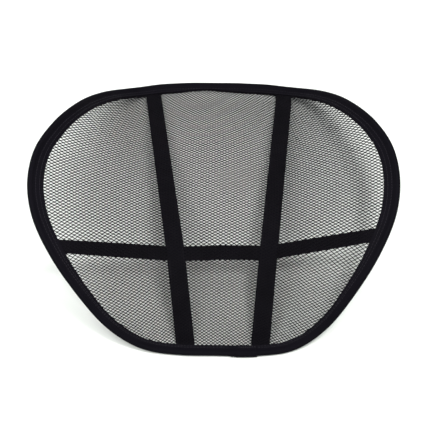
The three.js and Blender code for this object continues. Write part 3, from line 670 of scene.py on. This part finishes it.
def spread(line, count):
    """Evenly spaced points on a polyline, its outward normals, and their distances along it."""
    runs = distances(line)
    at = np.linspace(0, runs[-1], count)
    points = sample(at, runs, line)
    d = unit(np.gradient(points, axis=0))
    return points, np.stack([d[:, 1], -d[:, 0]], 1), at


def inner_row(lift):
    """Distance of the flap's stitch row from its edge."""
    return lerp(ROW_NARROW, ROW_WIDE, lift)


def edge_waver(s):
    """Small unevenness of the flap's edge."""
    turn = 2 * math.pi * np.asarray(s) / RIM_LENGTH
    rng = np.random.default_rng(3)
    total = 0 * turn
    for waves in WAVER_ROUND:
        total = total + np.sin(waves * turn + rng.uniform(0, 6.28))
    return total * WAVER


def tape_relief(runs, rows):
    """Height of the tape's face at distances across it: ribs, stitch grooves and rounded edges."""
    rise = RIB_DEEP * np.cos(2 * math.pi * runs / RIB_PITCH)
    for row in rows:
        rise -= GROOVE_DEEP * np.exp(-(((runs - row) / GROOVE_REACH) ** 2))
    for edge in (0, runs[-1]):
        rise -= ROUND_DEEP * np.exp(-np.abs(runs - edge) / ROUND_REACH)
    return rise


def binding_caps(last):
    """Faces that close the two ends of the binding. last is the first point of its last section."""
    faces = []
    for j in range(INNER_POINTS - 1):
        outer = [3 * j, 3 * j + 1, 3 * j + 2, 3 * j + 3]
        inner = [OUTER_POINTS + INNER_POINTS - 2 - j, OUTER_POINTS + INNER_POINTS - 1 - j]
        faces.append(tuple(reversed(outer + inner)))
        faces.append(tuple(last + g for g in outer + inner))
    return faces


def make_binding():
    end = LAP_START + RIM_LENGTH
    stations = np.append(np.arange(LAP_START, end + LAP, RIM_LENGTH / RIM_STATIONS), end + LAP)
    at = rim_at(stations)
    past = stations - (end - RIM_LENGTH / BINDING_SECTIONS)
    grow = LAP_OVER * smooth(past / LAP_CLIMB)
    back_share = lerp(1, DRAWN_SHARE, smooth((past - DRAW_FROM) / DRAW_LONG))
    widths = at["width"] - FLAP_INSET + edge_waver(stations)
    ring = OUTER_POINTS + INNER_POINTS
    points = np.zeros((len(stations), ring, 3))
    uvs = np.zeros((len(stations), ring, 2))
    for k, (s, width) in enumerate(zip(stations, widths)):
        outer_line = fold_line(width, FOLD_R, FLAP_TOP, grow[k], back_share[k])
        inner_line = fold_line(width, CHANNEL_R, FLAP_TOP - TAPE, grow[k], back_share[k])
        outer, normal, runs = spread(outer_line, OUTER_POINTS)
        inner, _, inner_runs = spread(inner_line, INNER_POINTS)
        rows = [width - ROW_AT_WIRE, inner_row(at["lift"][k])]
        rows += [runs[-1] - d for d in rows]
        shaped = outer + normal * tape_relief(runs, rows)[:, None]
        section = np.concatenate([shaped, inner[::-1]])
        across = np.outer(section[:, 0], at["in"][k]) + np.outer(section[:, 1], at["out"][k])
        points[k] = at["origin"][k] + across
        uvs[k, :, 0] = np.concatenate([runs, inner_runs[::-1]])
        uvs[k, :, 1] = s
    faces = ring_faces(len(stations), ring) + binding_caps((len(stations) - 1) * ring)
    return mesh_object("edge_binding_tape", points.reshape(-1, 3), faces, BINDING, uvs.reshape(-1, 2))


# ---- stitches ----
def make_stitches(name, places):
    """Short raised threads. places are rows of centre, direction, outward normal and length."""
    centre, direction, normal = (np.array([p[c] for p in places]) for c in range(3))
    length = np.array([p[3] for p in places])[:, None, None]
    side = np.cross(normal, direction)
    along = np.array(STITCH_ALONG)[None, :, None]
    lift = np.array(STITCH_LIFT)[None, :, None]
    thick = np.array(STITCH_THICK)[None, :, None, None]
    turn = np.arange(STITCH_SIDES) * 2 * math.pi / STITCH_SIDES
    spine = centre[:, None] + direction[:, None] * along * length + normal[:, None] * lift * STITCH_R
    circle = side[:, None, None] * np.cos(turn)[None, None, :, None]
    circle = circle + normal[:, None, None] * np.sin(turn)[None, None, :, None]
    points = spine[:, :, None] + circle * thick * STITCH_R
    faces = []
    for k in range(len(places)):
        start = k * len(STITCH_ALONG) * STITCH_SIDES
        last = start + (len(STITCH_ALONG) - 1) * STITCH_SIDES
        faces += ring_faces(len(STITCH_ALONG), STITCH_SIDES, start)
        faces.append(tuple(reversed(range(start, start + STITCH_SIDES))))
        faces.append(tuple(range(last, last + STITCH_SIDES)))
    return mesh_object(name, points.reshape(-1, 3), faces, SEWING)


def in_lap(s):
    return LAP_START - FREE_BEFORE_LAP < s < LAP_START + LAP + FREE_AFTER_LAP


def rim_row(u_of, v, side):
    """Stitches round the rim, u_of in from the wire and v out of the net's front. side is 1 on the
    front, where the rows stop at the lap, and -1 on the back."""
    count = int(RIM_LENGTH / STITCH_PITCH)
    s = (np.arange(count) + 0.5) * RIM_LENGTH / count
    at = rim_at(s)
    points = rim_place(at, u_of(at), np.full(count, v))
    kept = [k for k in range(count) if side == -1 or not in_lap(s[k])]
    return [(points[k], at["along"][k], at["out"][k] * side, STITCH) for k in kept]


def lap_tack():
    """The close zigzag that holds the binding's overlapping end."""
    places = []
    rows = np.arange(LAP_START + TACK_MARGIN, LAP_START + LAP - TACK_MARGIN, TACK_PITCH)
    at = rim_at(rows)
    top = np.full(len(rows), FLAP_TOP + LAP_OVER - TACK_SUNK)
    near = rim_place(at, np.full(len(rows), TACK_FROM), top)
    far = rim_place(at, at["width"] - FLAP_INSET - TACK_SHORT, top)
    for k, (a, b) in enumerate(zip(near, far)):
        lean = at["along"][k] * TACK_LEAN * (1 if k % 2 else -1)
        direction = b + lean - a
        reach = float(np.linalg.norm(direction))
        places.append(((a + b + lean) / 2, direction / reach, at["out"][k], reach))
    return places


def row_at_wire(at):
    return np.full(len(at["width"]), ROW_AT_WIRE)


def row_at_edge(at):
    return at["width"] - FLAP_INSET - inner_row(at["lift"])


def rim_stitches():
    places = []
    for v, side in ((FLAP_TOP - ROW_SUNK, 1), (FLAP_BACK + ROW_SUNK, -1)):
        for u_of in (row_at_wire, row_at_edge):
            places += rim_row(u_of, v, side)
    return make_stitches("binding_stitches", places + lap_tack())


# ---- tapes and strap: fine copies of the CAD ribbons ----
def slices(node, axis):
    """Where planes across axis cut a node: the levels, and the lowest and highest place across."""
    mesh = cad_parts[node].data
    mesh.calc_loop_triangles()
    co = np.array([v.co for v in mesh.vertices], float)
    tri = np.array([t.vertices for t in mesh.loop_triangles])
    pairs = np.concatenate([tri[:, [0, 1]], tri[:, [1, 2]], tri[:, [2, 0]]])
    a, b = co[pairs[:, 0]], co[pairs[:, 1]]
    low, high = co[:, axis].min() + TAPE_ENDS, co[:, axis].max() - TAPE_ENDS
    levels = np.linspace(low, high, int((high - low) / BAND_STEP) + 1)
    edges = []
    for level in levels:
        cut = (a[:, axis] - level) * (b[:, axis] - level) < 0
        t = (level - a[cut, axis]) / (b[cut, axis] - a[cut, axis])
        across = lerp(a[cut, 1 - axis], b[cut, 1 - axis], t)
        edges.append((across.min(), across.max()))
    return levels, np.array(edges)


def ribbon_face(node, axis, levels, edges):
    """Points of the CAD ribbon's front face in rows across it, a little smoothed along it."""
    bvh = tree(node)
    face = np.zeros((len(levels), BAND_ACROSS, 3))
    for k, (level, (low, high)) in enumerate(zip(levels, edges)):
        for i, place in enumerate(np.linspace(low + TAPE_INSET, high - TAPE_INSET, BAND_ACROSS)):
            x, y = (place, level) if axis == 1 else (level, place)
            face[k, i] = (x, y, height(bvh, x, y))
    z = face[..., 2]
    for row in z:
        gaps = np.isnan(row)
        if gaps.any() and not gaps.all():
            row[gaps] = np.interp(np.flatnonzero(gaps), np.flatnonzero(~gaps), row[~gaps])
    for _ in range(2):
        z[1:-1] = 0.25 * z[:-2] + 0.5 * z[1:-1] + 0.25 * z[2:]
    return face


def ribbon(name, node, axis, material):
    """A tape with soft edges where the CAD ribbon lies. Gives it and its face's points and normals."""
    levels, edges = slices(node, axis)
    face = ribbon_face(node, axis, levels, edges)
    share = np.linspace(0, 1, BAND_ACROSS)
    along = np.gradient(face, axis=0)
    across = np.gradient(face, axis=1)
    normal = unit(np.cross(across, along) if axis == 1 else np.cross(along, across))
    from_edge = np.minimum(share, 1 - share) * np.linalg.norm(face[:, -1] - face[:, 0], axis=1)[:, None]
    thin = THIN_BY * np.exp(-from_edge / THIN_REACH)
    front = face - normal * thin[..., None]
    behind = face - normal * (TAPE - thin)[..., None]
    ring = np.concatenate([front, behind[:, ::-1]], 1)
    count = ring.shape[1]
    faces = ring_faces(len(levels), count)
    last = (len(levels) - 1) * count
    for i in range(BAND_ACROSS - 1):
        faces.append((i, count - 1 - i, count - 2 - i, i + 1))
        faces.append((last + i + 1, last + count - 2 - i, last + count - 1 - i, last + i))
    if axis == 0:
        faces = [tuple(reversed(f)) for f in faces]
    runs = np.cumsum(np.linalg.norm(np.gradient(face[:, BAND_ACROSS // 2], axis=0), axis=1))
    width = share * np.median(edges[:, 1] - edges[:, 0])
    uvs = np.zeros((len(levels), count, 2))
    uvs[..., 0] = np.concatenate([width, width[::-1]])
    uvs[..., 1] = runs[:, None]
    made = mesh_object(name, ring.reshape(-1, 3), faces, material, uvs.reshape(-1, 2))
    return made, face, normal


def tape_rows(face, normal, free, side):
    """Stitches along both edges of a ribbon, on its front where side is 1 and its back where it is -1.
    free is the length without stitches at each end."""
    places = []
    n = normal[:, BAND_ACROSS // 2] * side
    for edge, other in ((face[:, 0], face[:, -1]), (face[:, -1], face[:, 0])):
        line = edge + unit(other - edge) * BAND_ROW
        if side == -1:
            line = line + n * TAPE
        runs = distances(line)
        for s in np.arange(free, runs[-1] - free, STITCH_PITCH):
            place = sample(s, runs, line)
            direction = unit(sample(s + 0.5 * MM, runs, line) - place)
            out = unit(sample(s, runs, n))
            out = unit(out - direction * (out @ direction))
            places.append((place - out * BAND_ROW_SUNK, direction, out, STITCH))
    return places


# ---- making every piece ----
net = make_net()
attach(net, "root")
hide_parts("mesh_panel")

binding = make_binding()
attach(binding, "root")
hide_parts("edge_binding")

seams = rim_stitches()
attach(seams, "root")

band_places = []
for side in ("left", "right"):
    for layer, free, facing in (("front", FRONT_FREE, 1), ("back", BACK_FREE, -1)):
        node = f"{side}_band_{layer}"
        tape, tape_face, tape_normal = ribbon(f"{node}_tape", node, 1, BAND)
        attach(tape, "root")
        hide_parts(node)
        band_places += tape_rows(tape_face, tape_normal, free, facing)
band_seams = make_stitches("band_stitches", band_places)
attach(band_seams, "root")

strap, _, _ = ribbon("cross_strap_elastic", "cross_strap", 0, STRAP)
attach(strap, "root")
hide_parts("cross_strap")

# ---- floor and light ----
FLOOR_HALF = 3.0
FLOOR_DOWN = 0.4 * MM
FLOOR_CORNERS = ((-1, -1), (1, -1), (1, 1), (-1, 1))
SKY = 0.45


def floor_material():
    g = Graph("pale_floor")
    blotches = g.noise(g.place(), scale=3.0)
    tone = g.mix(blotches, colour(0.785, 0.817, 0.78), colour(0.795, 0.827, 0.79))
    return g.finish(None, 0, Base_Color=tone, Roughness=0.9)


floor_points = np.array([[x * FLOOR_HALF, y * FLOOR_HALF, -FLOOR_DOWN] for x, y in FLOOR_CORNERS])
floor = mesh_object("floor", floor_points, [(0, 1, 2, 3)], floor_material())

scene = bpy.context.scene
scene.view_settings.view_transform = "Standard"

world = bpy.data.worlds.new("studio")
scene.world = world
world.use_nodes = True
sky = world.node_tree.nodes["Background"].inputs
sky["Color"].default_value = colour(1.0, 1.0, 1.0)
sky["Strength"].default_value = SKY


def studio_light(name, kind, watts, place):
    light = bpy.data.lights.new(name, kind)
    light.energy = watts
    made = bpy.data.objects.new(name, light)
    made.location = place
    scene.collection.objects.link(made)
    return light


# a small lamp to the right throws the bands' shadows, and a wide soft box to the left softens them
key = studio_light("key", "POINT", watts=20.0, place=(0.3, -0.2, 0.92))
key.shadow_soft_size = 0.1
soft_box = studio_light("soft_box", "AREA", watts=18.0, place=(-0.27, -0.14, 1.0))
soft_box.size = 1.2

# ---- camera ----
TARGET = Vector((7.013 * MM, -29.496 * MM, 40 * MM))
DISTANCE = 970.5 * MM
ELEVATION = math.radians(60.885)
AZIMUTH = math.radians(-1.933)
ROLL = math.radians(1.343)
LENS = 72.145
SHIFT = (-0.01035, -0.00256)
forward = Vector((
    -math.sin(AZIMUTH) * math.cos(ELEVATION),
    math.cos(AZIMUTH) * math.cos(ELEVATION),
    -math.sin(ELEVATION),
))
level_right = Vector((math.cos(AZIMUTH), math.sin(AZIMUTH), 0))
level_up = level_right.cross(forward)
right = level_right * math.cos(ROLL) + level_up * math.sin(ROLL)
up = level_up * math.cos(ROLL) - level_right * math.sin(ROLL)
camera = bpy.data.cameras.new("camera")
camera.sensor_width = 36
camera.lens = LENS
camera.shift_x, camera.shift_y = SHIFT
camera_object = bpy.data.objects.new("camera", camera)
turned = Matrix((right, up, -forward)).transposed()
camera_object.matrix_world = Matrix.Translation(TARGET - forward * DISTANCE) @ turned.to_4x4()
scene.collection.objects.link(camera_object)
scene.camera = camera_object

bpy.context.view_layer.update()
